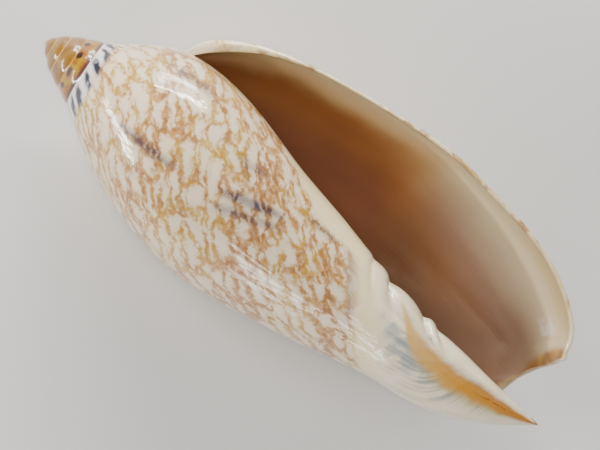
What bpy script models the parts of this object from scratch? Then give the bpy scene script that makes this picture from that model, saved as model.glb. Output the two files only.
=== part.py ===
"""A volute seashell, 110 mm long, lying on its back with the aperture up.

The shell grew as one spiral, so it is modelled the way it grew. A profile curve, from the suture
to the front end, turns about the shell's axis and changes with its age. Age is counted in turns
behind the lip: 0 is the lip edge, 1 is one whole turn earlier, 6 is the top of the spire.
Run with: blender --background --python part.py
"""
import math

import bmesh
import bpy
import numpy as np
from mathutils import Matrix, Vector

MM = 0.001

# Size and pose, in millimetres and degrees
LENGTH = 110.0               # apex to the tip of the columella, along the axis
WALL = 1.5                   # thickness of the outer wall
LIP_EDGE = 0.8               # and of the lip, where it ends
LIP_TAPER = 0.08             # age by which the wall has its full thickness
LIP_FLARE = 1.7              # how far the back corner of the lip turns outwards
FLARE_AGE = 0.03             # how soon behind the lip that flare fades
FLARE_AT = 0.02              # and where along the profile it is widest
LIP_AZIMUTH = 12.0           # where the lip edge stands round the axis, from +Y towards +Z
ROLL = 8.0                   # turn of the resting shell about its axis
PITCH = -8.5                 # the spire lies lower than the front end
APEX_AT = (-54.4, -4.97, 13.65)     # leaves 0.3 mm below Z = 0, which is worn flat there

# How finely the growth is cut into facets
COLUMNS = 32                 # per turn
EXPOSED_ROWS = 5             # suture to the next whorl's suture
BODY_ROWS = 11               # from there to the folds of the columella
FOLD_ROWS = 15               # across the folds
END_ROWS = 3                 # from the folds to the front edge

# Ages at which the growth stops or changes
APEX_AGE = 5                 # the suture reaches the axis
HOLLOW_AGE = 0.97            # how far back the hollow of the last whorl is modelled
TIP_AGE = 0.375              # from here back for one turn the shell runs out to its tip

# The suture: its distance from the apex and from the axis
SUTURE_AGE = (-1, -0.75, -0.5, -0.25, 0, 0.25, 0.5, 0.75, 1, 1.5, 2, 2.5, 3, 3.5, 4, 4.5, 5)
SUTURE_X = (58.2, 46.2, 36.1, 27.9, 21, 14.8, 10.6, 9.3, 8.5, 7.1, 5.7, 4.4, 3.2, 2.2, 1.3, 0.5, 0)
SUTURE_R = (28.5, 21.7, 17.8, 15.4, 13.9, 9.9, 7, 6.4, 6.1, 5.3, 4.8, 4.1, 3.4, 2.6, 1.8, 0.9, 0)

# The shoulder, as shares of the chord from one suture to the next: along it, and out from it
SHOULDER_AGE = (0, 0.25, 0.5, 0.75, 1, 1.5, 6)
SHOULDER_ALONG = (0.38, 0.48, 0.48, 0.51, 0.5, 0.5, 0.5)
SHOULDER_OUT = (0.12, 0.064, 0.063, 0.047, 0.035, 0.05, 0.1)

# Stations of the profile in front of the next suture, by age in quarter turns
QUARTERS = (0, 0.25, 0.5, 0.75, 1, 1.25, 1.5, 1.75, 2)
BELLY_X = (75.8, 61.7, 51.1, 43.2, 35.5, 28, 23, 19.4, 16.2)
BELLY_R = (28.3, 22.2, 18.2, 15.4, 13.9, 11.6, 9.7, 8.1, 6.7)
FLANK_X = (92.5, 79.3, 68.8, 58.2, 48.5, 40.5, 33.5, 28.2, 24.7)
FLANK_R = (25, 18.6, 14.9, 12.6, 10.4, 8, 6.4, 5.3, 4.4)
BAND_X = (104, 94.5, 82.3, 71, 59.6, 51, 44, 38, 32.6)
BAND_R = (17.8, 13.3, 11.8, 10.3, 7.9, 6.1, 4.8, 3.9, 3.2)
CREST_X = (105.8, 98, 89, 79.3, 69.1, 61.7, 56.4, 47.6, 41.4)
CREST_R = (14.1, 12.3, 11.1, 9, 5.6, 4.6, 3, 2.5, 1.9)
HORN_X = (106.3, 100.8, 99.6, 94.3, 88.1, 82.9, 70.5, 58.2, 50.2)
HORN_R = (12.9, 11.3, 7.6, 5.3, 2.3, 1.4, 1.1, 0.9, 0.7)

# The front edge: the notch first, then the tip, then the seam inside the last whorl
END_AGE = (0, 0.08, 0.15, 0.22, 0.28, 0.33, 0.375, 1.375, 1.44, 1.5, 1.75, 2)
END_X = (106.5, 105.9, 104.3, 102.7, 102, 103.6, 109.8, 109.8, 93.4, 82, 67.9, 57.3)
END_R = (12, 11.6, 11.1, 10.6, 8.6, 4.4, 0.2, 0.2, 0.5, 0.5, 0.45, 0.45)

# Where each station stands along the profile, from 0 at the suture to 1 at the front edge
STATIONS = (0, 0.1, 0.2, 0.36, 0.52, 0.66, 0.76, 0.88, 1)
COVER = 0.2                  # the next whorl's suture
CORNER = 0.216               # the back corner of the hollow, just past that suture
FOLDS = (0.7, 0.95)          # the stretch that has the folds of the columella

# Four folds wind round the columella: the creases beside them at age 1, and their depths
CREASE_X = (65.5, 69, 73.7, 82.3, 85.4, 101.4)
CREASE_DEPTH = (0, 0.5, 1.4, 1.4, 0.9, 0)
FOLD_ROUND = 0.7             # 0.5 gives half-round folds, 1 gives rounder creases

# How far forward a crease has moved at each age: it bends and runs along the axis at the last
BEND_AGE = (0.74, 0.755, 0.765, 0.78, 0.8, 0.84, 0.88, 1.033, 2)
BEND_X = (26, 12, 6.5, 4, 2.6, 1.1, 0.2, 0, -25)
BEND_FADE = (3, 12)          # the creases fade out over this much of the bend
FOLD_FADE = (1.4, 1.8)       # and over these ages deep inside

# The inner wall: its ends stand in front of and behind the older whorl's edges, and blend into them
INNER_START = 0.8            # in millimetres
INNER_END = 1.5
BACK_BLEND = 0.12            # as shares of the profile
FRONT_BLEND = 0.7
INNER_SAMPLES = 241          # points that measure the profile


def natural_curve(keys, values, at):
    """A smooth cubic through the values, straight at both ends."""
    keys = np.asarray(keys, float)
    values = np.asarray(values, float)
    step = np.diff(keys)
    count = len(keys)
    matrix = np.eye(count)
    right = np.zeros(values.shape)
    for i in range(1, count - 1):
        matrix[i, i - 1] = step[i - 1]
        matrix[i, i] = 2 * (step[i - 1] + step[i])
        matrix[i, i + 1] = step[i]
        rise = (values[i + 1] - values[i]) / step[i]
        right[i] = 6 * (rise - (values[i] - values[i - 1]) / step[i - 1])
    bend = np.linalg.solve(matrix, right.reshape(count, -1)).reshape(values.shape)
    k = np.clip(np.searchsorted(keys, at) - 1, 0, count - 2)
    shape = (-1,) + (1,) * (values.ndim - 1)
    width = step[k].reshape(shape)
    a = (keys[k + 1] - at).reshape(shape) / width
    b = 1 - a
    curved = (a**3 - a) * bend[k] + (b**3 - b) * bend[k + 1]
    return a * values[k] + b * values[k + 1] + curved * width**2 / 6


def steady_curve(keys, values, at):
    """A cubic through the values that never overshoots them."""
    keys = np.asarray(keys, float)
    values = np.asarray(values, float)
    step = np.diff(keys)
    rise = np.diff(values) / step
    slope = np.zeros(len(keys))
    for i in range(1, len(keys) - 1):
        if rise[i - 1] * rise[i] > 0:
            first = 2 * step[i] + step[i - 1]
            second = step[i] + 2 * step[i - 1]
            slope[i] = (first + second) / (first / rise[i - 1] + second / rise[i])
    slope[0] = rise[0]
    slope[-1] = rise[-1]
    k = np.clip(np.searchsorted(keys, at) - 1, 0, len(keys) - 2)
    t = (at - keys[k]) / step[k]
    ends = (1 + 2 * t) * (1 - t)**2 * values[k] + t * t * (3 - 2 * t) * values[k + 1]
    return ends + step[k] * (t * (1 - t)**2 * slope[k] + t * t * (t - 1) * slope[k + 1])


def smooth_step(low, high, value):
    t = np.clip((value - low) / (high - low), 0, 1)
    return t * t * (3 - 2 * t)


def suture(age):
    """Distance of the suture from the apex and from the axis."""
    seen = np.minimum(age, APEX_AGE)
    x = natural_curve(SUTURE_AGE, SUTURE_X, seen)
    r = natural_curve(SUTURE_AGE, SUTURE_R, seen)
    return np.stack([x, np.maximum(r, 0)], axis=-1)


def stations(age):
    """The nine points that shape the profile, for each age."""
    own = suture(age)
    cover = suture(age - 1)
    chord = cover - own
    outward = np.stack([-chord[:, 1], chord[:, 0]], axis=-1)
    along = steady_curve(SHOULDER_AGE, SHOULDER_ALONG, age)[:, None]
    out = steady_curve(SHOULDER_AGE, SHOULDER_OUT, age)[:, None]
    points = [own, own + along * chord + out * outward, cover]
    young = np.minimum(age, QUARTERS[-1])
    shrink = np.where((age > QUARTERS[-1])[:, None], cover / suture(np.array([1.0])), 1)
    for x, r in ((BELLY_X, BELLY_R), (FLANK_X, FLANK_R), (BAND_X, BAND_R)):
        station = (natural_curve(QUARTERS, x, young), natural_curve(QUARTERS, r, young))
        points.append(shrink * np.stack(station, axis=-1))
    fronts = ((QUARTERS, CREST_X, CREST_R), (QUARTERS, HORN_X, HORN_R), (END_AGE, END_X, END_R))
    for ages, x, r in fronts:
        station = (steady_curve(ages, x, young), steady_curve(ages, r, young))
        points.append(shrink * np.stack(station, axis=-1))
    return np.stack(points, axis=1)


def folds(age, x):
    """How far the surface sinks towards the creases between the columella's folds."""
    moved = steady_curve(BEND_AGE, BEND_X, np.clip(age, BEND_AGE[0], BEND_AGE[-1]))
    place = x - moved
    depth = np.zeros_like(place)
    for i in range(len(CREASE_X) - 1):
        t = np.clip((place - CREASE_X[i]) / (CREASE_X[i + 1] - CREASE_X[i]), 0, 1)
        lobe = (4 * t * (1 - t))**FOLD_ROUND
        crease = CREASE_DEPTH[i] * (1 - t) + CREASE_DEPTH[i + 1] * t
        depth += np.where((t > 0) & (t < 1), crease * (1 - lobe), 0)
    return depth * (1 - smooth_step(*BEND_FADE, moved)) * (1 - smooth_step(*FOLD_FADE, age))


def outer_surface(ages, along):
    """Points (distance from apex, distance from axis) for each age and place along the profile."""
    keys = stations(ages)
    surface = natural_curve(STATIONS, keys.transpose(1, 0, 2), along).transpose(1, 0, 2)
    age = ages[:, None]
    place = along[None, :]
    from_corner = place / FLARE_AT
    surface[..., 1] += LIP_FLARE * np.exp(-(age / FLARE_AGE)**2) * from_corner * np.exp(1 - from_corner)
    surface[..., 1] -= folds(age, surface[..., 0])
    surface[..., 1] = np.maximum(surface[..., 1], 0)
    return surface


def inner_surface(ages, steps):
    """The inside of the outer wall, from the back corner of the hollow to its front edge."""
    fine = np.linspace(0, 1, INNER_SAMPLES)
    outside = outer_surface(ages, fine)
    columella = outer_surface(ages + 1, np.array([CORNER, 1.0]))
    inside = np.zeros((len(ages), len(steps), 2))
    for i, age in enumerate(ages):
        slope = np.gradient(outside[i], axis=0)
        slope /= np.maximum(np.linalg.norm(slope, axis=1), 1e-9)[:, None]
        wall = LIP_EDGE + (WALL - LIP_EDGE) * smooth_step(0, LIP_TAPER, age)
        offset = outside[i] + wall * np.stack([slope[:, 1], -slope[:, 0]], axis=1)
        back, front = columella[i]
        start = np.interp(back[0] + INNER_START, offset[:, 0], fine)
        end = 1.0
        if age >= TIP_AGE:
            end = np.interp(front[0] - INNER_END, offset[:, 0], fine)
        at = start + (end - start) * steps
        for axis in (0, 1):
            inside[i, :, axis] = np.interp(at, fine, offset[:, axis])
        inside[i] += (back - inside[i, 0]) * (1 - smooth_step(0, BACK_BLEND, steps))[:, None]
        if age >= TIP_AGE:
            inside[i] += (front - inside[i, -1]) * smooth_step(FRONT_BLEND, 1, steps)[:, None]
    return inside


def in_place(age, point):
    """Turn a profile point about the axis to its age."""
    turn = math.radians(LIP_AZIMUTH) - 2 * math.pi * age
    x, r = point
    return Vector((x, r * math.cos(turn), r * math.sin(turn)))


def fill_grid(mesh, grid):
    """Faces between neighbouring rows of vertices; corners that share a vertex are left out."""
    for row, next_row in zip(grid, grid[1:]):
        for a, b, c, d in zip(row, next_row, next_row[1:], row[1:]):
            corners = list(dict.fromkeys((a, b, c, d)))
            if len(corners) > 2:
                mesh.faces.new(corners)


def join_edges(mesh, first, second):
    """Triangles between two rows of vertices that need not have the same number."""
    i = j = 0
    while i < len(first) - 1 or j < len(second) - 1:
        if i * (len(second) - 1) <= j * (len(first) - 1) and i < len(first) - 1:
            corners = (first[i], first[i + 1], second[j])
            i += 1
        else:
            corners = (first[i], second[j + 1], second[j])
            j += 1
        if len(set(corners)) == 3:
            mesh.faces.new(corners)


def grow_shell():
    """The whole shell as one closed mesh."""
    mesh = bmesh.new()
    exposed = np.linspace(0, COVER, EXPOSED_ROWS + 1)
    body = np.linspace(CORNER, FOLDS[0], BODY_ROWS + 1)
    fold = np.linspace(FOLDS[0], FOLDS[1], FOLD_ROWS + 1)
    front = np.linspace(FOLDS[1], 1, END_ROWS + 1)
    along = np.concatenate([exposed, body, fold[1:], front[1:]])
    first_hidden = EXPOSED_ROWS + 1
    tip_column = round(TIP_AGE * COLUMNS)
    deepest = round(HOLLOW_AGE * COLUMNS)
    ages = np.arange((APEX_AGE + 1) * COLUMNS + 1) / COLUMNS
    surface = outer_surface(ages, along)
    apex = mesh.verts.new(in_place(0, (0, 0)))
    tip = mesh.verts.new(in_place(0, (LENGTH, 0)))

    # One column of vertices for each age; an older whorl's last exposed row is the next one's suture
    columns = []
    for i, age in enumerate(ages):
        rows = len(along) if i <= COLUMNS + deepest else first_hidden
        column = []
        for j in range(rows):
            if j == 0 and age >= APEX_AGE or age == ages[-1]:
                column.append(apex)
            elif j == EXPOSED_ROWS and i >= COLUMNS:
                column.append(columns[i - COLUMNS][0])
            elif j == len(along) - 1 and tip_column <= i <= tip_column + COLUMNS:
                column.append(tip)
            else:
                column.append(mesh.verts.new(in_place(age, surface[i, j])))
        columns.append(column)

    # The outside, then the wall that the older whorl shows inside the hollow
    fill_grid(mesh, columns[:COLUMNS + 1])
    fill_grid(mesh, [column[:first_hidden] for column in columns[COLUMNS:]])
    older = [column[first_hidden:] for column in columns[COLUMNS:COLUMNS + deepest + 1]]
    fill_grid(mesh, older)

    # The inside of the outer wall, which meets the older whorl at both its ends
    hollow_ages = ages[:deepest + 1]
    inside = inner_surface(hollow_ages, along)
    inner = []
    for i, age in enumerate(hollow_ages):
        column = [older[i][0]]
        column += [mesh.verts.new(in_place(age, point)) for point in inside[i, 1:-1]]
        front = older[i][-1] if i >= tip_column else mesh.verts.new(in_place(age, inside[i, -1]))
        inner.append(column + [front])
    fill_grid(mesh, inner)

    # The blind end of the hollow, the edge of the notch and the edge of the lip
    join_edges(mesh, older[-1], inner[-1])
    fill_grid(mesh, [(columns[i][-1], inner[i][-1]) for i in range(tip_column + 1)])
    fill_grid(mesh, [columns[0], inner[0]])
    bmesh.ops.recalc_face_normals(mesh, faces=mesh.faces)
    return mesh


def lay_down(mesh):
    """Pose the shell on its back and wear a flat spot where it rests."""
    pose = Matrix.Translation(Vector(APEX_AT))
    pose @= Matrix.Rotation(math.radians(PITCH), 4, "Y")
    pose @= Matrix.Rotation(math.radians(ROLL), 4, "X")
    bmesh.ops.transform(mesh, matrix=pose, verts=mesh.verts)
    everything = mesh.verts[:] + mesh.edges[:] + mesh.faces[:]
    cut = bmesh.ops.bisect_plane(mesh, geom=everything, plane_co=(0, 0, 0), plane_no=(0, 0, -1),
                                 clear_outer=True)
    rim = [item for item in cut["geom_cut"] if isinstance(item, bmesh.types.BMEdge)]
    bmesh.ops.edgeloop_fill(mesh, edges=rim)
    bmesh.ops.transform(mesh, matrix=Matrix.Scale(MM, 4), verts=mesh.verts)


def shell_material():
    material = bpy.data.materials.new("polished shell")
    material.use_nodes = True
    surface = material.node_tree.nodes["Principled BSDF"]
    surface.inputs["Base Color"].default_value = (0.72, 0.55, 0.4, 1)
    surface.inputs["Roughness"].default_value = 0.25
    surface.inputs["Metallic"].default_value = 0
    return material


def main():
    for thing in list(bpy.data.objects):
        bpy.data.objects.remove(thing)
    mesh = grow_shell()
    lay_down(mesh)
    data = bpy.data.meshes.new("shell")
    mesh.to_mesh(data)
    mesh.free()
    data.shade_smooth()
    data.set_sharp_from_angle(angle=math.radians(40))
    data.materials.append(shell_material())
    shell = bpy.data.objects.new("shell", data)
    bpy.context.scene.collection.objects.link(shell)


main()
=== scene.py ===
"""A volute seashell lying on its back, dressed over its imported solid. Blender 4.5."""
import math

import bmesh
import bpy
import numpy as np
from mathutils import Matrix, Vector


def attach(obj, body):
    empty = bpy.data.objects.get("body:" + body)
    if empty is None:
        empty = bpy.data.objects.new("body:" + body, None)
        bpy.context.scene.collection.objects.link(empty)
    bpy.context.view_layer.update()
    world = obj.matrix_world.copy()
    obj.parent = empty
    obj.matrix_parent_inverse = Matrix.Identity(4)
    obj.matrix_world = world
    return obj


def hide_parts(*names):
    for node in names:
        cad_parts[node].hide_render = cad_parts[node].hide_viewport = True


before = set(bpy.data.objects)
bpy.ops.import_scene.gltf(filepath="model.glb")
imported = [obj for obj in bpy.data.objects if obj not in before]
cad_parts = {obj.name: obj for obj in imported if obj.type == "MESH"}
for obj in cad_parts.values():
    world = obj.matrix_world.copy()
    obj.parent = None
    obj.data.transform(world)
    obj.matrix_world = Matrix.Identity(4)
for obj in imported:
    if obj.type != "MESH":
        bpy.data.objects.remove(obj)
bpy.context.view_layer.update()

# The shell's form
# A volute shell is one piece of aragonite, laid down at the lip as the animal grows, turn after turn.
# A profile curve turns about the axis and changes with its age, counted in turns behind the lip, so
# sheets of quads are wrapped round by that rule and sewn together along the edges that they share.

# Sizes are in millimetres. Places along the profile are shares of it, from 0 at the suture to 1 at the
# front end.
MM = 0.001
LENGTH = 110.0               # apex to tip, along the axis
WALL = 1.5                   # thickness of the outer wall
LIP_EDGE = 0.8               # and of the lip, where it ends
LIP_TAPER = 0.08             # age by which the wall has its full thickness
LIP_AZIMUTH = 12.0           # where the lip edge stands round the axis, from +Y towards +Z
ROLL = 8.0                   # turn of the resting shell about its axis
PITCH = -8.5                 # the spire lies lower than the front end
APEX_AT = (-54.4, -4.97, 13.65)
APEX_AGE = 5                 # the suture reaches the axis
TIP_AGE = 0.375              # from here back for one turn the shell runs out to its tip
HOLLOW_AGE = 0.96875         # how far back the hollow of the last whorl goes
COVER = 0.2                  # where the next whorl's suture lies
CORNER = 0.216               # the back corner of the hollow, just past that suture
LIP_FLARE = 1.7              # how far the back corner of the lip turns outwards
FLARE_AGE = 0.03             # how soon behind the lip that flare fades
FLARE_AT = 0.02              # and where along the profile it is widest
CURL_FROM = 0.79             # from here forwards the growth lines curl towards the lip
CURL = 17                    # turns that they curl by, for the square of the place beyond it

# The profile's stations by age: their distance from the apex (X) and from the axis (R)
SUTURE_AGE = (-1, -0.75, -0.5, -0.25, 0, 0.25, 0.5, 0.75, 1, 1.5, 2, 2.5, 3, 3.5, 4, 4.5, 5)
SUTURE_X = (58.2, 46.2, 36.1, 27.9, 21, 14.8, 10.6, 9.3, 8.5, 7.1, 5.7, 4.4, 3.2, 2.2, 1.3, 0.5, 0)
SUTURE_R = (28.5, 21.7, 17.8, 15.4, 13.9, 9.9, 7, 6.4, 6.1, 5.3, 4.8, 4.1, 3.4, 2.6, 1.8, 0.9, 0)
SHOULDER_AGE = (0, 0.25, 0.5, 0.75, 1, 1.5, 6)
SHOULDER_ALONG = (0.38, 0.48, 0.48, 0.51, 0.5, 0.5, 0.5)
SHOULDER_OUT = (0.12, 0.064, 0.063, 0.047, 0.035, 0.05, 0.1)
QUARTERS = (0, 0.25, 0.5, 0.75, 1, 1.25, 1.5, 1.75, 2)
BELLY_X = (75.8, 61.7, 51.1, 43.2, 35.5, 28, 23, 19.4, 16.2)
BELLY_R = (28.3, 22.2, 18.2, 15.4, 13.9, 11.6, 9.7, 8.1, 6.7)
FLANK_X = (92.5, 79.3, 68.8, 58.2, 48.5, 40.5, 33.5, 28.2, 24.7)
FLANK_R = (25, 18.6, 14.9, 12.6, 10.4, 8, 6.4, 5.3, 4.4)
BAND_X = (104, 94.5, 82.3, 71, 59.6, 51, 44, 38, 32.6)
BAND_R = (17.8, 13.3, 11.8, 10.3, 7.9, 6.1, 4.8, 3.9, 3.2)
CREST_X = (105.8, 98, 89, 79.3, 69.1, 61.7, 56.4, 47.6, 41.4)
CREST_R = (14.1, 12.3, 11.1, 9, 5.6, 4.6, 3, 2.5, 1.9)
HORN_X = (106.3, 100.8, 99.6, 94.3, 88.1, 82.9, 70.5, 58.2, 50.2)
HORN_R = (12.9, 11.3, 7.6, 5.3, 2.3, 1.4, 1.1, 0.9, 0.7)
END_AGE = (0, 0.08, 0.15, 0.22, 0.28, 0.33, 0.375, 1.375, 1.44, 1.5, 1.75, 2)
END_X = (106.5, 105.9, 104.3, 102.7, 102, 103.6, 109.8, 109.8, 93.4, 82, 67.9, 57.3)
END_R = (12, 11.6, 11.1, 10.6, 8.6, 4.4, 0.2, 0.2, 0.5, 0.5, 0.45, 0.45)
STATIONS = (0, 0.1, 0.2, 0.36, 0.52, 0.66, 0.76, 0.88, 1)

# The inner wall: its ends stand in front of and behind the older whorl's edges, and blend into them
INNER_START = 0.8
INNER_END = 1.5
BACK_BLEND = 0.12
FRONT_BLEND = 0.7

# Four folds wind round the columella: the creases beside them, and how these move and fade with age
CREASE_X = (65.5, 69, 73.7, 82.3, 85.4, 101.4)
CREASE_DEPTH = (0, 0.5, 1.4, 1.4, 0.9, 0)
FOLD_ROUND = 0.7
BEND_AGE = (0.74, 0.755, 0.765, 0.78, 0.8, 0.84, 0.88, 1.033, 2)
BEND_X = (26, 12, 6.5, 4, 2.6, 1.1, 0.2, 0, -25)
BEND_FADE = (2, 7)
FOLD_FADE = (1.4, 1.8)

# The groove in front of the folds, and the ridge beside it, by distance from the apex
GROOVE_X = (74, 78, 81, 84.7, 87.5, 90, 93, 97.6, 101, 104, 108)
GROOVE_AGE = (0.85, 0.805, 0.783, 0.752, 0.738, 0.72, 0.714, 0.702, 0.697, 0.69, 0.69)
GROOVE_HALF = (0.015, 0.018, 0.022, 0.026, 0.03, 0.034, 0.036, 0.042, 0.05, 0.06, 0.08)
GROOVE_DEPTH = (0, 0.3, 0.5, 0.6, 0.7, 0.7, 0.65, 0.5, 0.35, 0.15, 0)
RIDGE_SHARE = 0.6            # height of the ridge, as a share of the groove's depth
RIDGE_AWAY = 1.9             # its distance and half width, in half widths of the groove
RIDGE_HALF = 0.7

# How finely the curves are sampled, along a profile and round a turn
PROFILE_SAMPLES = 480
TURN_SAMPLES = 100


def natural_curve(keys, values, at):
    """A smooth cubic through the values, straight at both ends."""
    keys = np.asarray(keys, float)
    values = np.asarray(values, float)
    step = np.diff(keys)
    count = len(keys)
    matrix = np.eye(count)
    right = np.zeros(values.shape)
    for i in range(1, count - 1):
        matrix[i, i - 1] = step[i - 1]
        matrix[i, i] = 2 * (step[i - 1] + step[i])
        matrix[i, i + 1] = step[i]
        climb = (values[i + 1] - values[i]) / step[i]
        right[i] = 6 * (climb - (values[i] - values[i - 1]) / step[i - 1])
    bend = np.linalg.solve(matrix, right.reshape(count, -1)).reshape(values.shape)
    k = np.clip(np.searchsorted(keys, at) - 1, 0, count - 2)
    shape = (-1,) + (1,) * (values.ndim - 1)
    width = step[k].reshape(shape)
    a = (keys[k + 1] - at).reshape(shape) / width
    b = 1 - a
    curved = (a**3 - a) * bend[k] + (b**3 - b) * bend[k + 1]
    return a * values[k] + b * values[k + 1] + curved * width**2 / 6


def steady_curve(keys, values, at):
    """A cubic through the values that never overshoots them."""
    keys = np.asarray(keys, float)
    values = np.asarray(values, float)
    step = np.diff(keys)
    climb = np.diff(values) / step
    slope = np.zeros(len(keys))
    for i in range(1, len(keys) - 1):
        if climb[i - 1] * climb[i] > 0:
            first = 2 * step[i] + step[i - 1]
            second = step[i] + 2 * step[i - 1]
            slope[i] = (first + second) / (first / climb[i - 1] + second / climb[i])
    slope[0] = climb[0]
    slope[-1] = climb[-1]
    k = np.clip(np.searchsorted(keys, at) - 1, 0, len(keys) - 2)
    t = (at - keys[k]) / step[k]
    ends = (1 + 2 * t) * (1 - t)**2 * values[k] + t * t * (3 - 2 * t) * values[k + 1]
    return ends + step[k] * (t * (1 - t)**2 * slope[k] + t * t * (t - 1) * slope[k + 1])


def smooth_step(low, high, value):
    """0 up to low, 1 from high on, and a smooth curve between them."""
    t = np.clip((value - low) / (high - low), 0, 1)
    return t * t * (3 - 2 * t)


def suture(age):
    """Where the seam between the whorls lies at each age."""
    seen = np.minimum(age, APEX_AGE)
    x = natural_curve(SUTURE_AGE, SUTURE_X, seen)
    r = natural_curve(SUTURE_AGE, SUTURE_R, seen)
    return np.stack([x, np.maximum(r, 0)], axis=-1)


def stations(age):
    """The points that the profile passes through at each age."""
    own = suture(age)
    cover = suture(age - 1)
    chord = cover - own
    outward = np.stack([-chord[:, 1], chord[:, 0]], axis=-1)
    along = steady_curve(SHOULDER_AGE, SHOULDER_ALONG, age)[:, None]
    out = steady_curve(SHOULDER_AGE, SHOULDER_OUT, age)[:, None]
    points = [own, own + along * chord + out * outward, cover]
    young = np.minimum(age, QUARTERS[-1])
    shrink = np.where((age > QUARTERS[-1])[:, None], cover / suture(np.array([1.0])), 1)
    for x, r in ((BELLY_X, BELLY_R), (FLANK_X, FLANK_R), (BAND_X, BAND_R)):
        station = (natural_curve(QUARTERS, x, young), natural_curve(QUARTERS, r, young))
        points.append(shrink * np.stack(station, axis=-1))
    fronts = ((QUARTERS, CREST_X, CREST_R), (QUARTERS, HORN_X, HORN_R), (END_AGE, END_X, END_R))
    for ages, x, r in fronts:
        station = (steady_curve(ages, x, young), steady_curve(ages, r, young))
        points.append(shrink * np.stack(station, axis=-1))
    return np.stack(points, axis=1)


def folds(age, x):
    """How far the surface sinks towards the creases between the columella's folds."""
    moved = steady_curve(BEND_AGE, BEND_X, np.clip(age, BEND_AGE[0], BEND_AGE[-1]))
    place = x - moved
    depth = np.zeros_like(place)
    for i in range(len(CREASE_X) - 1):
        t = np.clip((place - CREASE_X[i]) / (CREASE_X[i + 1] - CREASE_X[i]), 0, 1)
        lobe = (4 * t * (1 - t))**FOLD_ROUND
        crease = CREASE_DEPTH[i] * (1 - t) + CREASE_DEPTH[i + 1] * t
        depth += np.where((t > 0) & (t < 1), crease * (1 - lobe), 0)
    return depth * (1 - smooth_step(*BEND_FADE, moved)) * (1 - smooth_step(*FOLD_FADE, age))


def groove(age, x):
    """How far the surface sinks along the groove, less how far it rises in the ridge beside it."""
    at = np.clip(x, GROOVE_X[0], GROOVE_X[-1])
    off = (age - steady_curve(GROOVE_X, GROOVE_AGE, at)) / steady_curve(GROOVE_X, GROOVE_HALF, at)
    depth = steady_curve(GROOVE_X, GROOVE_DEPTH, at)
    ridge = RIDGE_SHARE * np.exp(-((off - RIDGE_AWAY) / RIDGE_HALF)**2)
    return depth * (np.exp(-off**2) - ridge)


def growth_relief(age, place):
    """Shallow waves of growth, so many radians a turn, strongest on the band that the notch leaves."""
    line = age - CURL * np.maximum(place - CURL_FROM, 0)**2
    band = smooth_step(0.7, 0.78, place) * (1 - smooth_step(0.81, 0.86, place))
    band = band * (1 - smooth_step(0.68, 0.74, age)) * smooth_step(0.3, 0.45, age)
    waves = np.sin(line * 141 + 2 * np.sin(line * 37)) + 0.6 * np.sin(line * 97 + 0.4)
    body_waves = 0.04 * np.sin(age * 74 + 0.6 * np.sin(age * 31)) + 0.03 * np.sin(age * 163 + place * 5)
    body_waves = body_waves * smooth_step(0.05, 0.2, place) * smooth_step(0.03, 0.1, age) * (age < 1)
    body_waves = body_waves * (1 - smooth_step(0.9, 1, age)) * (1 - smooth_step(0.62, 0.7, place))
    return 0.07 * waves * band + body_waves


def outer_surface(ages, along):
    """Points (distance from apex, distance from axis) for each age and place along the profile."""
    keys = stations(ages)
    surface = natural_curve(STATIONS, keys.transpose(1, 0, 2), along).transpose(1, 0, 2)
    age = ages[:, None]
    place = along[None, :]
    from_corner = place / FLARE_AT
    surface[..., 1] += LIP_FLARE * np.exp(-(age / FLARE_AGE)**2) * from_corner * np.exp(1 - from_corner)
    x = surface[..., 0].copy()
    surface[..., 1] -= folds(age, x) + groove(age, x)
    surface[..., 1] += growth_relief(age, place)
    surface[..., 1] = np.maximum(surface[..., 1], 0)
    runs_to_tip = (age >= TIP_AGE) & (age <= TIP_AGE + 1) & (place == 1)
    surface[runs_to_tip] = (LENGTH, 0)
    surface[np.broadcast_to((age >= APEX_AGE) & (place == 0), runs_to_tip.shape)] = (0, 0)
    return surface


def inner_surface(ages, steps):
    """The inside of the outer wall, from the back corner of the hollow to its front edge."""
    fine = np.linspace(0, 1, PROFILE_SAMPLES + 1)
    outside = outer_surface(ages, fine)
    columella = outer_surface(ages + 1, np.array([CORNER, 1.0]))
    inside = np.zeros((len(ages), len(steps), 2))
    for i, age in enumerate(ages):
        slope = np.gradient(outside[i], axis=0)
        slope /= np.maximum(np.linalg.norm(slope, axis=1), 1e-9)[:, None]
        wall = LIP_EDGE + (WALL - LIP_EDGE) * smooth_step(0, LIP_TAPER, age)
        offset = outside[i] + wall * np.stack([slope[:, 1], -slope[:, 0]], axis=1)
        back, front = columella[i]
        start = np.interp(back[0] + INNER_START, offset[:, 0], fine)
        end = 1.0
        if age >= TIP_AGE:
            end = np.interp(front[0] - INNER_END, offset[:, 0], fine)
        at = start + (end - start) * steps
        for axis in (0, 1):
            inside[i, :, axis] = np.interp(at, fine, offset[:, axis])
        inside[i] += (back - inside[i, 0]) * (1 - smooth_step(0, BACK_BLEND, steps))[:, None]
        if age >= TIP_AGE:
            inside[i] += (front - inside[i, -1]) * smooth_step(FRONT_BLEND, 1, steps)[:, None]
    return inside


pose = Matrix.Translation(Vector(APEX_AT) * MM)
pose @= Matrix.Rotation(math.radians(PITCH), 4, "Y")
pose @= Matrix.Rotation(math.radians(ROLL), 4, "X")
pose_turn = np.array(pose.to_3x3())
pose_shift = np.array(pose.translation)


def turned(ages, profile):
    """Profile points of shape (ages, places, 2) turned about the axis to their ages, in metres."""
    turn = math.radians(LIP_AZIMUTH) - 2 * math.pi * ages[:, None]
    x, r = profile[..., 0], profile[..., 1]
    local = np.stack([x, r * np.cos(turn), r * np.sin(turn)], axis=-1)
    return local * MM @ pose_turn.T + pose_shift


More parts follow.
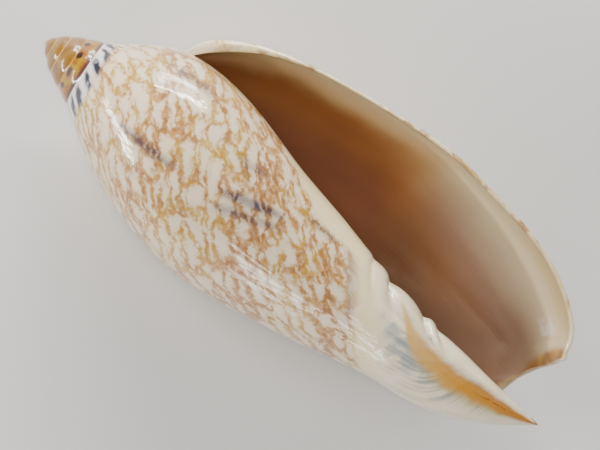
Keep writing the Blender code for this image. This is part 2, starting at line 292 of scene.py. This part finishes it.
def grown(ages):
    """Millimetres that the belly has grown, from the lip back to each age as a minus number."""
    turns = np.linspace(0, APEX_AGE + 1, TURN_SAMPLES * (APEX_AGE + 1) + 1)
    girth = 2 * math.pi * natural_curve(QUARTERS, BELLY_R, np.minimum(turns, QUARTERS[-1]))
    return -np.interp(ages, turns, np.cumsum(girth) * (turns[1] - turns[0]))


def growth_sheet(name, ages, places, points, inside):
    """A grid primitive wrapped on the points.

    Its UV maps hold age and place, and the same in millimetres. Its attribute is the inside's share.
    """
    bpy.ops.object.select_all(action="DESELECT")
    bpy.ops.mesh.primitive_grid_add(x_subdivisions=len(ages) - 1, y_subdivisions=len(places) - 1, size=2)
    sheet = bpy.context.object
    sheet.name = name
    mesh = sheet.data
    mesh.vertices.foreach_set("co", points.transpose(1, 0, 2).ravel())
    corner = np.empty(len(mesh.loops), int)
    mesh.loops.foreach_get("vertex_index", corner)
    growth = np.stack(np.meshgrid(ages, places), axis=-1).reshape(-1, 2)
    mesh.uv_layers[0].name = "growth"
    mesh.uv_layers["growth"].data.foreach_set("uv", growth[corner].ravel())
    arc = np.linalg.norm(np.diff(points, axis=1, prepend=points[:, :1]), axis=2).cumsum(axis=1) / MM
    skin = np.stack([grown(growth[:, 0]), arc.T.ravel()], axis=-1)
    mesh.uv_layers.new(name="skin")
    mesh.uv_layers["skin"].data.foreach_set("uv", skin[corner].ravel())
    shade = mesh.attributes.new("inside", "FLOAT", "POINT")
    share = np.broadcast_to(inside, points.shape[:2]).T.ravel()
    shade.data.foreach_set("value", share.astype(np.float32))
    return sheet


# Rows lie closest at the suture, at the rims and over the folds; columns lie wider apart only deep in
# the hollow
TURN_COLUMNS = 192
EXPOSED_ROWS = 16
RIM_STEPS = 6
FOLDS_FROM = 0.66
FOLDS_TO = 0.96
seen_places = np.concatenate([
    COVER * np.linspace(0, 1, EXPOSED_ROWS + 1)**1.3,
    np.linspace(COVER, CORNER, RIM_STEPS + 1)[1:],
    np.linspace(CORNER, FOLDS_FROM, 52)[1:],
    np.linspace(FOLDS_FROM, FOLDS_TO, 78)[1:],
    np.linspace(FOLDS_TO, 1, 9)[1:],
])
exposed = seen_places[:EXPOSED_ROWS + 1]
hidden = seen_places[EXPOSED_ROWS + RIM_STEPS:]
body_ages = np.arange(TURN_COLUMNS + 1) / TURN_COLUMNS
spire_ages = np.arange(TURN_COLUMNS, TURN_COLUMNS * (APEX_AGE + 1) + 1) / TURN_COLUMNS
half_turn = body_ages[:TURN_COLUMNS // 2 + 1]
hollow_ages = np.concatenate([half_turn, np.linspace(0.5, HOLLOW_AGE, 25)[1:]])

body = turned(body_ages, outer_surface(body_ages, seen_places))
spire = turned(spire_ages, outer_surface(spire_ages, exposed))
columella = turned(hollow_ages + 1, outer_surface(hollow_ages + 1, hidden))
lining = turned(hollow_ages, inner_surface(hollow_ages, seen_places))
lining[:, 0] = columella[:, 0]
meets_columella = hollow_ages >= TIP_AGE
lining[meets_columella, -1] = columella[meets_columella, -1]

# The rims are half round: past the lip in the direction of growth, and past the notch forwards
axis_direction = pose_turn @ np.array([1, 0, 0])
rim_turn = np.linspace(0, math.pi, RIM_STEPS + 1)
CORNER_SWING = 0.012         # age over which the rim swings from the lip's direction to the notch's


def rim(outer_edge, inner_edge, outward):
    """Half circles from the outer edge round to the inner one."""
    across = ((1 - np.cos(rim_turn)) / 2)[:, None, None]
    half = np.linalg.norm(outer_edge - inner_edge, axis=-1)[None, :, None] / 2
    bulge = half * np.sin(rim_turn)[:, None, None] * outward[None]
    return outer_edge[None] * (1 - across) + inner_edge[None] * across + bulge


growing = body[0] - body[1]
growing /= np.maximum(np.linalg.norm(growing, axis=1), 1e-12)[:, None]
growing *= smooth_step(0, 0.03, seen_places)[:, None]
lip = rim(body[0], lining[0], growing)
lip[:, 0] = body[-1, EXPOSED_ROWS:EXPOSED_ROWS + 1 + RIM_STEPS]
notch_ages = body_ages[body_ages <= TIP_AGE]
notch_count = len(notch_ages)
like_lip = np.exp(-notch_ages / CORNER_SWING)[:, None]
forward = like_lip * growing[-1] + (1 - like_lip) * axis_direction
notch = rim(body[:notch_count, -1], lining[:notch_count, -1], forward)

rim_inside = np.linspace(0, 1, RIM_STEPS + 1)[:, None]
columella_inside = smooth_step(1.02, 1.2, hollow_ages + 1)[:, None]
sheets = [
    growth_sheet("body", body_ages, seen_places, body, 0),
    growth_sheet("spire", spire_ages, exposed, spire, 0),
    growth_sheet("columella", hollow_ages + 1, hidden, columella, columella_inside),
    growth_sheet("lining", hollow_ages, seen_places, lining, 1),
    growth_sheet("lip", np.zeros(RIM_STEPS + 1), seen_places, lip, rim_inside),
    growth_sheet("notch", np.zeros(RIM_STEPS + 1), np.ones(notch_count), notch, rim_inside),
]

# The sheets are sewn where they share an edge, and the blind end of the hollow is filled
WELD = 0.000004
bpy.ops.object.select_all(action="DESELECT")
for sheet in sheets:
    sheet.select_set(True)
bpy.context.view_layer.objects.active = sheets[0]
bpy.ops.object.join()
volute = bpy.context.object
volute.name = "volute"
volute.data.name = "volute"
bpy.ops.object.mode_set(mode="EDIT")
bpy.ops.mesh.select_all(action="SELECT")
bpy.ops.mesh.remove_doubles(threshold=WELD)
bpy.ops.mesh.select_all(action="DESELECT")
bpy.ops.mesh.select_mode(type="EDGE")
bpy.ops.mesh.select_non_manifold(use_wire=False, use_multi_face=False, use_non_contiguous=False,
                                 use_verts=False)
bpy.ops.mesh.fill()
bpy.ops.mesh.select_all(action="SELECT")
bpy.ops.mesh.normals_make_consistent(inside=False)

# The back is worn flat where it rests, exactly at the floor
bpy.ops.mesh.bisect(plane_co=(0, 0, 0), plane_no=(0, 0, -1), clear_outer=True, use_fill=True,
                    threshold=0.0000001)
bpy.ops.object.mode_set(mode="OBJECT")

# The spire ends in one point, and every face looks outwards
PEAK_SIZE = 0.0001
SHARP_ANGLE = 50
closed = bmesh.new()
closed.from_mesh(volute.data)
peak = Vector(spire[-1].mean(axis=0))
at_peak = [vertex for vertex in closed.verts if (vertex.co - peak).length < PEAK_SIZE]
bmesh.ops.pointmerge(closed, verts=at_peak, merge_co=peak)
if closed.calc_volume(signed=True) < 0:
    bmesh.ops.reverse_faces(closed, faces=closed.faces)
closed.to_mesh(volute.data)
closed.free()
bpy.ops.object.shade_smooth_by_angle(angle=math.radians(SHARP_ANGLE))

# Shell material
# Porcelain-like aragonite, polished by the animal: ivory under an orange-brown net of tents that
# point the way the shell grew, brown inside, with white enamel and an orange groove at the front.


def paint(red, green, blue):
    """A colour, as linear values."""
    return tuple(((part / 255 + 0.055) / 1.055)**2.4 for part in (red, green, blue)) + (1,)


def node(tree, kind, inputs=(), **settings):
    """A node with its settings; its inputs are values or the outputs of other nodes."""
    made = tree.nodes.new(kind)
    for name, value in settings.items():
        setattr(made, name, value)
    for name, value in dict(inputs).items():
        if isinstance(value, bpy.types.NodeSocket):
            tree.links.new(value, made.inputs[name])
        else:
            made.inputs[name].default_value = value
    return made


def calc(tree, operation, *values):
    """The result of a math node."""
    return node(tree, "ShaderNodeMath", enumerate(values), operation=operation).outputs[0]


def rise(tree, value, low, high):
    """A soft step from 0 at low to 1 at high."""
    return node(tree, "ShaderNodeMapRange", {"Value": value, "From Min": low, "From Max": high},
                interpolation_type="SMOOTHSTEP").outputs["Result"]


def fall(tree, value, low, high):
    """A soft step from 1 at low to 0 at high."""
    return calc(tree, "SUBTRACT", 1, rise(tree, value, low, high))


def beyond(tree, value, start):
    """How far the value is past the start, or else 0."""
    return calc(tree, "MAXIMUM", calc(tree, "SUBTRACT", value, start), 0)


def within(tree, value, low, high, soft):
    """1 between low and high and 0 outside, with soft ends."""
    up_side = rise(tree, value, low - soft, low + soft)
    down_side = rise(tree, value, high - soft, high + soft)
    return calc(tree, "SUBTRACT", up_side, down_side)


def mix(tree, share, first, second):
    """The first colour, with a share of the second laid over it."""
    return node(tree, "ShaderNodeMix", {0: share, 6: first, 7: second}, data_type="RGBA").outputs[2]


def noise(tree, place, scale, detail=2.0, rough=0.5):
    """Soft noise between 0 and 1."""
    settings = {"Vector": place, "Scale": scale, "Detail": detail, "Roughness": rough}
    return node(tree, "ShaderNodeTexNoise", settings).outputs["Fac"]


def times(tree, *values):
    """The product of all the values."""
    total = values[0]
    for value in values[1:]:
        total = calc(tree, "MULTIPLY", total, value)
    return total


# One layer of the net: rounded cells, each narrowing to a point on the side that grew last
cells = bpy.data.node_groups.new("tent cells", "ShaderNodeTree")
cells.interface.new_socket("Place", in_out="INPUT", socket_type="NodeSocketVector")
cells.interface.new_socket("Thickness", in_out="INPUT", socket_type="NodeSocketFloat")
cells.interface.new_socket("Opening", in_out="OUTPUT", socket_type="NodeSocketFloat")
given = node(cells, "NodeGroupInput")
in_cells = {"Vector": given.outputs["Place"], "Scale": 1, "Randomness": 0.95}
to_edge = node(cells, "ShaderNodeTexVoronoi", in_cells, voronoi_dimensions="2D",
               feature="DISTANCE_TO_EDGE")
nearest = node(cells, "ShaderNodeTexVoronoi", in_cells, voronoi_dimensions="2D")
offset = node(cells, "ShaderNodeVectorMath", {0: given.outputs["Place"], 1: nearest.outputs["Position"]},
              operation="SUBTRACT")
apart = node(cells, "ShaderNodeSeparateXYZ", {0: offset.outputs[0]})
ahead = calc(cells, "MAXIMUM", calc(cells, "ADD", apart.outputs[0], 0.25), 0)
narrowing = times(cells, ahead, calc(cells, "ABSOLUTE", apart.outputs[1]), 0.8)
line = calc(cells, "ADD", given.outputs["Thickness"], narrowing)
node(cells, "NodeGroupOutput", {"Opening": calc(cells, "SUBTRACT", to_edge.outputs["Distance"], line)})

shell_look = bpy.data.materials.new("volute shell")
shell_look.use_nodes = True
tree = shell_look.node_tree
surface = tree.nodes["Principled BSDF"]

# Where a point is: its age and place along the profile, the same in millimetres, and in space
growth_map = node(tree, "ShaderNodeUVMap", uv_map="growth").outputs[0]
growth = node(tree, "ShaderNodeSeparateXYZ", {0: growth_map})
age = growth.outputs[0]
along = growth.outputs[1]
skin_map = node(tree, "ShaderNodeUVMap", uv_map="skin").outputs[0]
skin = node(tree, "ShaderNodeSeparateXYZ", {0: skin_map})
grown_mm = skin.outputs[0]
along_mm = skin.outputs[1]
inside = node(tree, "ShaderNodeAttribute", attribute_name="inside").outputs["Fac"]
own_place = node(tree, "ShaderNodeTexCoord").outputs["Object"]
here = node(tree, "ShaderNodeVectorMath", {0: own_place, 1: (1 / MM,) * 3},
            operation="MULTIPLY").outputs[0]

# The tents stand in leaning rows, and wander a little
TENT_LENGTH = 5.0
TENT_WIDTH = 3.4
ROW_LEAN = 0.62
leaning = calc(tree, "MULTIPLY_ADD", grown_mm, -ROW_LEAN, along_mm)
flat_skin = node(tree, "ShaderNodeCombineXYZ", {0: calc(tree, "DIVIDE", grown_mm, TENT_LENGTH),
                                                1: calc(tree, "DIVIDE", leaning, TENT_WIDTH)}).outputs[0]
broad = node(tree, "ShaderNodeTexNoise", {"Vector": here, "Scale": 0.22, "Detail": 1.0}).outputs["Color"]
fine = node(tree, "ShaderNodeTexNoise", {"Vector": here, "Scale": 0.9, "Detail": 1.0}).outputs["Color"]
wander = flat_skin
for waviness, reach in ((broad, (0.9, 1.1, 0)), (fine, (0.25, 0.34, 0))):
    wander = node(tree, "ShaderNodeVectorMath", {0: waviness, 1: reach, 2: wander},
                  operation="MULTIPLY_ADD").outputs[0]
closer = node(tree, "ShaderNodeVectorMath", {0: wander, 1: (2.3, 2.1, 1), 2: (7.3, 3.1, 0)},
              operation="MULTIPLY_ADD").outputs[0]

# The net is what the cells leave open; a second, smaller size of cell breaks up the thick places
banding = within(tree, along, 0.37, 0.47, 0.03)
for low, high in ((0.155, 0.22), (0.565, 0.62)):
    banding = calc(tree, "MAXIMUM", banding, within(tree, along, low, high, 0.02))
thickness = calc(tree, "MULTIPLY_ADD", noise(tree, here, 0.2, 2.0, 0.55), 0.5, -0.15)
thickness = calc(tree, "MULTIPLY_ADD", banding, 0.05, thickness)
grain = calc(tree, "SUBTRACT", noise(tree, here, 1.7, 2.0, 0.6), 0.5)
openings = []
for place, thicker, fuzz in ((wander, 0.0, 0.4), (closer, 0.11, 0.5)):
    layer = node(tree, "ShaderNodeGroup", node_tree=cells)
    tree.links.new(place, layer.inputs["Place"])
    tree.links.new(calc(tree, "ADD", thickness, thicker), layer.inputs["Thickness"])
    openings.append(calc(tree, "MULTIPLY_ADD", grain, fuzz, layer.outputs["Opening"]))
open_parts = calc(tree, "MAXIMUM", openings[0], calc(tree, "MULTIPLY", openings[1], 0.5))
pale_places = rise(tree, noise(tree, here, 1.2, 1.0), 0.42, 0.68)
net = times(tree, fall(tree, open_parts, -0.06, 0.1), calc(tree, "MULTIPLY_ADD", pale_places, -0.3, 1))
dark_places = rise(tree, noise(tree, here, 0.8, 1.0), 0.38, 0.58)
core = times(tree, fall(tree, open_parts, -0.17, 0.01), dark_places)

ivory = mix(tree, noise(tree, here, 0.16, 2.0), paint(240, 224, 190), paint(228, 206, 182))
redder = calc(tree, "MAXIMUM", rise(tree, noise(tree, here, 0.3, 2.0), 0.42, 0.6), banding)
thin_lines = mix(tree, redder, paint(198, 158, 66), paint(188, 136, 74))
core_lines = mix(tree, redder, paint(168, 118, 30), paint(134, 84, 44))
halo = fall(tree, open_parts, 0.0, 0.3)
outside = mix(tree, times(tree, halo, 0.22), ivory, thin_lines)
outside = mix(tree, net, outside, thin_lines)
outside = mix(tree, times(tree, core, 0.65), outside, core_lines)

# Purple-grey clouds lie under the enamel, drawn out along the axis
drawn_out = node(tree, "ShaderNodeCombineXYZ", {0: calc(tree, "MULTIPLY", grown_mm, 0.62),
                                                1: calc(tree, "MULTIPLY", along_mm, 0.13)}).outputs[0]
smoke = times(tree, rise(tree, noise(tree, drawn_out, 1.0, 3.0, 0.6), 0.22, 0.46),
              calc(tree, "MULTIPLY_ADD", net, 0.35, 0.65))
greyer = rise(tree, noise(tree, here, 0.3, 1.0), 0.42, 0.6)
smoke_colour = mix(tree, greyer, paint(72, 50, 58), paint(66, 62, 84))
blur = calc(tree, "MULTIPLY_ADD", noise(tree, here, 0.5, 3.0), 0.016, age)
clouds = (
    # ends along the profile; first and last age at the back end; slope in age; strength
    (0.345, 0.475, 0.765, 0.782, -0.25, 0.95),
    (0.34, 0.47, 0.738, 0.752, -0.28, 0.8),
    (0.12, 0.24, 0.74, 0.756, -0.08, 0.9),
    (0.18, 0.265, 0.908, 0.928, 0.1, 0.7),
    (0.36, 0.42, 0.833, 0.848, -0.18, 0.6),
    (0.53, 0.6, 0.836, 0.852, -0.1, 0.7),
)
for low, high, first_age, last_age, slope, share in clouds:
    row_age = calc(tree, "MULTIPLY_ADD", calc(tree, "SUBTRACT", along, low), slope, blur)
    cloud = times(tree, within(tree, along, low, high, 0.02),
                  within(tree, row_age, first_age, last_age, 0.008), smoke, share)
    outside = mix(tree, cloud, outside, smoke_colour)

# White band below the suture, with blue-black flammules that slant forward
FLAMMULE_SPACING = 0.066
FLAMMULE_SLANT = 1.33
slant = calc(tree, "MULTIPLY_ADD", along, FLAMMULE_SLANT, age)
jitter = calc(tree, "MULTIPLY_ADD", noise(tree, here, 0.35, 1.0), 0.07, slant)
flame = calc(tree, "SUBTRACT", calc(tree, "FRACT", calc(tree, "DIVIDE", jitter, FLAMMULE_SPACING)), 0.5)
flame = calc(tree, "ABSOLUTE", flame)
seam_edge = calc(tree, "MULTIPLY_ADD", noise(tree, here, 0.8, 1.0), 0.014, along)
seam_band = fall(tree, seam_edge, 0.025, 0.04)
white_band = mix(tree, times(tree, seam_band, 0.9), outside, paint(235, 228, 222))
flame_length = times(tree, within(tree, along, 0.005, 0.031, 0.006), rise(tree, age, 0.02, 0.05))
shadow = times(tree, fall(tree, flame, 0.18, 0.42), flame_length)
flammule = times(tree, fall(tree, flame, 0.12, 0.27), flame_length,
                 rise(tree, noise(tree, here, 0.6, 1.0), 0.2, 0.42))
outside = mix(tree, times(tree, shadow, 0.6), white_band, paint(100, 106, 134))
outside = mix(tree, times(tree, flammule, 0.96), outside, paint(22, 24, 42))

# The turn before the last is orange with dark spots, and the older turns are tan with cream seams
SPOT_SPACING = 0.095
SPOT_PLACE = 0.042
SPOT_HALF_LENGTH = 0.24
SPOT_HALF_WIDTH = 0.036
upper = rise(tree, age, 1.02, 1.12)
golden = rise(tree, noise(tree, here, 0.5, 2.0), 0.4, 0.6)
orange = mix(tree, golden, paint(148, 90, 0), paint(164, 128, 0))
row = calc(tree, "DIVIDE", age, SPOT_SPACING)
row = calc(tree, "MULTIPLY_ADD", noise(tree, here, 0.4, 1.0), 0.5, row)
across = calc(tree, "SUBTRACT", calc(tree, "FRACT", row), 0.5)
across = calc(tree, "DIVIDE", across, SPOT_HALF_LENGTH)
down = calc(tree, "DIVIDE", calc(tree, "SUBTRACT", along, SPOT_PLACE), SPOT_HALF_WIDTH)
spots = calc(tree, "ADD", times(tree, across, across), times(tree, down, down))
spots = calc(tree, "MULTIPLY_ADD", noise(tree, here, 1.3, 1.0), 1.2, spots)
orange = mix(tree, fall(tree, along, 0.003, 0.014), orange, paint(196, 150, 66))
orange = mix(tree, within(tree, along, 0.176, 0.3, 0.01), orange, paint(92, 50, 44))
orange = mix(tree, fall(tree, spots, 0.9, 2.2), orange, paint(96, 44, 0))
orange = mix(tree, fall(tree, spots, 0.8, 1.5), orange, paint(40, 16, 4))
older = rise(tree, age, 2.05, 2.25)
olive = rise(tree, noise(tree, here, 0.5, 1.0), 0.4, 0.6)
tan = mix(tree, olive, paint(132, 88, 46), paint(144, 106, 38))
tan = mix(tree, fall(tree, along, 0.004, 0.018), tan, paint(200, 168, 90))
tan = mix(tree, rise(tree, along, 0.11, 0.18), tan, paint(138, 94, 12))
outside = mix(tree, upper, outside, mix(tree, older, orange, tan))

# Enamel at the front: white to cream, with grey growth lines that curl forwards
curl = beyond(tree, along, CURL_FROM)
step_of_growth = calc(tree, "MULTIPLY_ADD", calc(tree, "MULTIPLY", curl, curl), -CURL, age)
line_place = node(tree, "ShaderNodeCombineXYZ", {0: calc(tree, "MULTIPLY", step_of_growth, 60),
                                                 1: calc(tree, "MULTIPLY", along, 4)}).outputs[0]
lines = noise(tree, line_place, 1.0, 3.0, 0.65)
line_shade = times(tree, fall(tree, lines, 0.4, 0.56), rise(tree, age, 0.55, 0.66))
patchy = rise(tree, noise(tree, here, 0.2, 1.0), 0.32, 0.56)
lined = times(tree, within(tree, along, 0.74, 0.96, 0.04), fall(tree, age, 0.72, 0.8))
callus = mix(tree, noise(tree, here, 0.3, 2.0), paint(242, 232, 202), paint(230, 214, 180))
callus = mix(tree, times(tree, fall(tree, along, 0.68, 0.75), 0.6), callus, paint(238, 220, 164))
front = mix(tree, times(tree, line_shade, lined, patchy, 0.72), callus, paint(116, 125, 132))
bluish = times(tree, within(tree, age, 0.66, 0.8, 0.04), within(tree, along, 0.735, 0.83, 0.02),
               rise(tree, noise(tree, here, 0.4, 2.0), 0.4, 0.62))
front = mix(tree, times(tree, bluish, 0.6), front, paint(136, 150, 156))

# The orange streak starts along the growth lines, then bends and runs on to the tip at a steady age
STREAK_START = 0.757
STREAK_BEND = 0.0024
STREAK_AGE = 0.688
from_start = calc(tree, "MAXIMUM", calc(tree, "SUBTRACT", along, STREAK_START), 0.015)
streak_middle = calc(tree, "ADD", calc(tree, "DIVIDE", STREAK_BEND, from_start), STREAK_AGE)
streak_width = calc(tree, "MULTIPLY_ADD", rise(tree, along, 0.82, 0.93), 0.01, 0.033)
streak_off = calc(tree, "ABSOLUTE", calc(tree, "SUBTRACT", age, streak_middle))
ragged_edge = calc(tree, "SUBTRACT", noise(tree, here, 0.35, 1.0), 0.5)
streak_off = calc(tree, "MULTIPLY_ADD", ragged_edge, 0.035, streak_off)
streak_edge = calc(tree, "SUBTRACT", streak_off, streak_width)
streak = times(tree, fall(tree, streak_edge, -0.018, 0.026), rise(tree, along, 0.765, 0.785))
fringe = times(tree, fall(tree, streak_edge, 0, 0.045), rise(tree, along, 0.78, 0.84),
               calc(tree, "LESS_THAN", age, streak_middle))
streak_colour = mix(tree, rise(tree, along, 0.79, 0.88), paint(212, 166, 92), paint(200, 134, 0))
streak_colour = mix(tree, rise(tree, along, 0.86, 0.96), streak_colour, paint(192, 118, 0))
front = mix(tree, times(tree, fringe, 0.6), front, paint(176, 160, 84))
front = mix(tree, times(tree, streak, 0.92), front, streak_colour)
vein_place = calc(tree, "MULTIPLY_ADD", noise(tree, here, 0.5, 2.0), 0.03, age)
vein = times(tree, within(tree, vein_place, 0.712, 0.722, 0.006), rise(tree, along, 0.88, 0.93),
             rise(tree, noise(tree, here, 0.9, 1.0), 0.35, 0.6))
front = mix(tree, times(tree, vein, 0.8), front, paint(118, 58, 12))

# Painted shade in the shallow hollow at the edge of the net, the enamel in front of it, and the callus
# on the wall by the opening
# Painted shade: grey-mauve in the shallow hollow where the net meets the enamel
edge_shade = times(tree, within(tree, along, 0.628, 0.66, 0.016), within(tree, age, 0.7, 0.87, 0.06))
outside = mix(tree, times(tree, edge_shade, 0.5), outside, paint(170, 154, 150))
enamel_edge = calc(tree, "MULTIPLY_ADD", noise(tree, here, 0.8, 1.0), 0.014, along)
front_share = rise(tree, enamel_edge, 0.645, 0.682)
outside = mix(tree, front_share, outside, front)
towards_folds = calc(tree, "MINIMUM", beyond(tree, along, 0.42), 0.15)
parietal = rise(tree, calc(tree, "ADD", age, towards_folds), 0.985, 1.01)
outside = mix(tree, times(tree, parietal, calc(tree, "SUBTRACT", 1, upper)), outside, callus)

# The inside turns brown with depth, sooner at the back than at the front, under painted light and shade
depth = calc(tree, "MULTIPLY_ADD", beyond(tree, along, 0.3), -0.28, age)
depth = calc(tree, "MULTIPLY_ADD", noise(tree, here, 0.1, 2.0), 0.04, depth)
# Painted light: at the back corner, which the lip shades, the cream is carried deeper into the hollow
depth = calc(tree, "SUBTRACT", depth, 0.02)
depth = calc(tree, "MULTIPLY_ADD", rise(tree, along, 0.04, 0.12), 0.024, depth)
half_lit = mix(tree, rise(tree, along, 0.24, 0.48), paint(228, 186, 124), paint(188, 148, 124))
# Painted light: the cream by the lip is partly the shell's own colour and partly light shining through
# the thin lip
lip_cream_and_light = mix(tree, rise(tree, along, 0.3, 0.6), paint(246, 232, 186), paint(222, 200, 164))
near_lip = mix(tree, rise(tree, depth, 0.03, 0.11), lip_cream_and_light, half_lit)
# Painted light and shade: the deep brown is lighter at the back and darker at the front, for light that
# falls unevenly into the hollow
deep_back_painted_lighter = mix(tree, rise(tree, depth, 0.12, 0.21), paint(186, 120, 68), paint(146, 92, 66))
deep_front_painted_darker = mix(tree, rise(tree, depth, 0.12, 0.21), paint(164, 116, 78), paint(126, 86, 60))
deep = mix(tree, rise(tree, along, 0.3, 0.46), deep_back_painted_lighter, deep_front_painted_darker)
sharply = rise(tree, depth, 0.08, 0.12)
gently = rise(tree, depth, 0.08, 0.16)
forward_share = rise(tree, along, 0.15, 0.35)
browned = node(tree, "ShaderNodeMix", {0: forward_share, 2: sharply, 3: gently}).outputs[0]
interior = mix(tree, browned, near_lip, deep)

# Rosier and painted darker in front, with a brown stain, chalky wear and yellowing near the lip's front
# corner
# Painted shade: besides its rosy tone, this darkens the front of the hollow
rosy_and_shaded = times(tree, rise(tree, along, 0.48, 0.66), rise(tree, age, 0.05, 0.14))
interior = mix(tree, times(tree, rosy_and_shaded, 0.8), interior, paint(132, 98, 76))
ragged = calc(tree, "MULTIPLY_ADD", noise(tree, here, 0.4, 1.0), 0.03, along)
stain_edge = calc(tree, "MULTIPLY_ADD", age, -1.3, ragged)
corner_stain = times(tree, rise(tree, stain_edge, 0.735, 0.82), fall(tree, age, 0.17, 0.22))
yellower = rise(tree, noise(tree, here, 0.3, 1.0), 0.4, 0.65)
stain_colour = mix(tree, yellower, paint(150, 94, 20), paint(204, 160, 60))
interior = mix(tree, times(tree, corner_stain, 0.75), interior, stain_colour)
chalk = times(tree, within(tree, age, 0.045, 0.085, 0.012), within(tree, along, 0.64, 0.71, 0.015),
              rise(tree, noise(tree, here, 0.9, 2.0), 0.35, 0.55))
interior = mix(tree, times(tree, chalk, 0.6), interior, paint(240, 232, 218))
yellowing = times(tree, fall(tree, age, 0.02, 0.045), within(tree, along, 0.48, 0.66, 0.04))
interior = mix(tree, times(tree, yellowing, 0.4), interior, paint(214, 184, 104))

# The net ends in brown marks on the lip's rim, which is cream between them
rim_marks = times(tree, rise(tree, noise(tree, here, 0.28, 2.0), 0.5, 0.6),
                  fall(tree, age, 0.002, 0.008), within(tree, along, 0.04, 0.5, 0.02))
interior = mix(tree, times(tree, rim_marks, 0.75), interior, paint(158, 100, 56))
at_edge = times(tree, fall(tree, age, 0.002, 0.016),
                calc(tree, "SUBTRACT", 1, calc(tree, "MAXIMUM", core, rim_marks)))
outside = mix(tree, times(tree, at_edge, 0.6), outside, paint(240, 226, 184))
tree.links.new(mix(tree, inside, outside, interior), surface.inputs["Base Color"])

# Fine lamellae of growth and a slightly uneven polish break up the highlights
lamellae_place = node(tree, "ShaderNodeCombineXYZ",
                      {0: calc(tree, "MULTIPLY", grown_mm, 1.6),
                       1: calc(tree, "MULTIPLY", along_mm, 0.16)}).outputs[0]
lamellae = noise(tree, lamellae_place, 1.0, 2.0, 0.6)
uneven = times(tree, noise(tree, here, 0.42, 2.0), calc(tree, "MULTIPLY_ADD", front_share, 3.5, 0.8))
height = calc(tree, "MULTIPLY_ADD", uneven, calc(tree, "MULTIPLY_ADD", inside, -0.8, 1), lamellae)
polish = node(tree, "ShaderNodeBump", {"Strength": 0.5, "Distance": 0.00006, "Height": height})
tree.links.new(polish.outputs["Normal"], surface.inputs["Normal"])
tree.links.new(polish.outputs["Normal"], surface.inputs["Coat Normal"])
surface.inputs["Roughness"].default_value = 0.33
surface.inputs["IOR"].default_value = 1.5
surface.inputs["Coat Weight"].default_value = 1
surface.inputs["Coat Roughness"].default_value = 0.03
surface.inputs["Subsurface Weight"].default_value = 0.12
surface.inputs["Subsurface Radius"].default_value = (0.0016, 0.0009, 0.0005)
surface.inputs["Subsurface Scale"].default_value = 1
volute.data.materials.clear()
volute.data.materials.append(shell_look)

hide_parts("shell")
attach(volute, "root")

# Floor
# A plain pale sheet of card, large enough to fill the picture and the views from other sides.
bpy.ops.mesh.primitive_plane_add(size=3)
floor = bpy.context.object
floor.name = "floor"
card = bpy.data.materials.new("pale card")
card.use_nodes = True
card_surface = card.node_tree.nodes["Principled BSDF"]
card_surface.inputs["Base Color"].default_value = (0.74, 0.73, 0.71, 1)
card_surface.inputs["Roughness"].default_value = 0.85
floor.data.materials.append(card)

# Camera
# It looks at the opening, square to the shell's axis, with the axis 38 degrees down to the right.
PICTURE_SLOPE = math.radians(38)
AIM_ALONG = 55.25            # millimetres from the apex, along the axis and beside it
AIM_ASIDE = 2.0
CAMERA_DISTANCE = 0.4408     # metres
aim = pose @ Vector((AIM_ALONG * MM, AIM_ASIDE * MM, 0))
turn = pose.to_3x3()
right = turn @ Vector((math.cos(PICTURE_SLOPE), math.sin(PICTURE_SLOPE), 0))
up = turn @ Vector((-math.sin(PICTURE_SLOPE), math.cos(PICTURE_SLOPE), 0))
towards = turn @ Vector((0, 0, 1))
bpy.ops.object.camera_add()
camera = bpy.context.object
camera.name = "camera"
facing = Matrix((right, up, towards)).transposed().to_4x4()
camera.matrix_world = Matrix.Translation(aim + towards * CAMERA_DISTANCE) @ facing
camera.data.lens = 150
camera.data.sensor_width = 36
camera.data.clip_start = 0.01
bpy.context.scene.camera = camera

# Studio light
# Soft boxes stand round the picture. The window and the glows give the curved highlights, and the
# others light the shell without a reflection of their own.
UNREFLECTED = ("key", "fill", "bounce")
soft_boxes = (
    # name; metres to the right, up and towards the camera; width and length; power; colour
    ("window", 0.07, 0.56, 0.1, 0.34, 0.1, 2.6, (1, 0.98, 0.95)),
    ("window sill", 0.04, 0.44, 0.22, 0.42, 0.014, 2.4, (1, 0.98, 0.94)),
    ("window frame", -0.45, 0.03, 0.2, 0.014, 0.3, 1.5, (1, 0.98, 0.94)),
    ("lower glow left", -0.19, -0.455, 0.08, 0.045, 0.07, 0.11, (1, 1, 1)),
    ("lower glow middle", -0.14, -0.4, 0.21, 0.045, 0.08, 0.14, (1, 1, 1)),
    ("lower glow right", -0.085, -0.35, 0.345, 0.045, 0.05, 0.1, (1, 1, 1)),
    ("key", -0.3, 0.4, 0.9, 0.35, 0.35, 3.6, (1, 0.97, 0.93)),
    ("fill", 0.06, -0.02, 1.0, 0.16, 0.16, 3.1, (0.98, 0.98, 1)),
    ("bounce", -0.34, -0.4, 0.5, 0.3, 0.3, 1.1, (1, 0.98, 0.95)),
)
for name, across, height, distance, width, length, power, colour in soft_boxes:
    place = aim + right * across + up * height + towards * distance
    bpy.ops.object.light_add(type="AREA", location=place)
    lamp = bpy.context.object
    lamp.name = name
    backward = (place - aim).normalized()
    sideways = (right - backward * backward.dot(right)).normalized()
    facing = Matrix((sideways, backward.cross(sideways), backward)).transposed().to_4x4()
    lamp.matrix_world = Matrix.Translation(place) @ facing
    lamp.data.shape = "RECTANGLE"
    lamp.data.size = width
    lamp.data.size_y = length
    lamp.data.energy = power
    lamp.data.color = colour
    lamp.visible_glossy = name not in UNREFLECTED
room = bpy.data.worlds.new("room")
room.use_nodes = True
surroundings = room.node_tree.nodes["Background"]
surroundings.inputs["Color"].default_value = (0.86, 0.88, 0.9, 1)
surroundings.inputs["Strength"].default_value = 0.18
bpy.context.scene.world = room
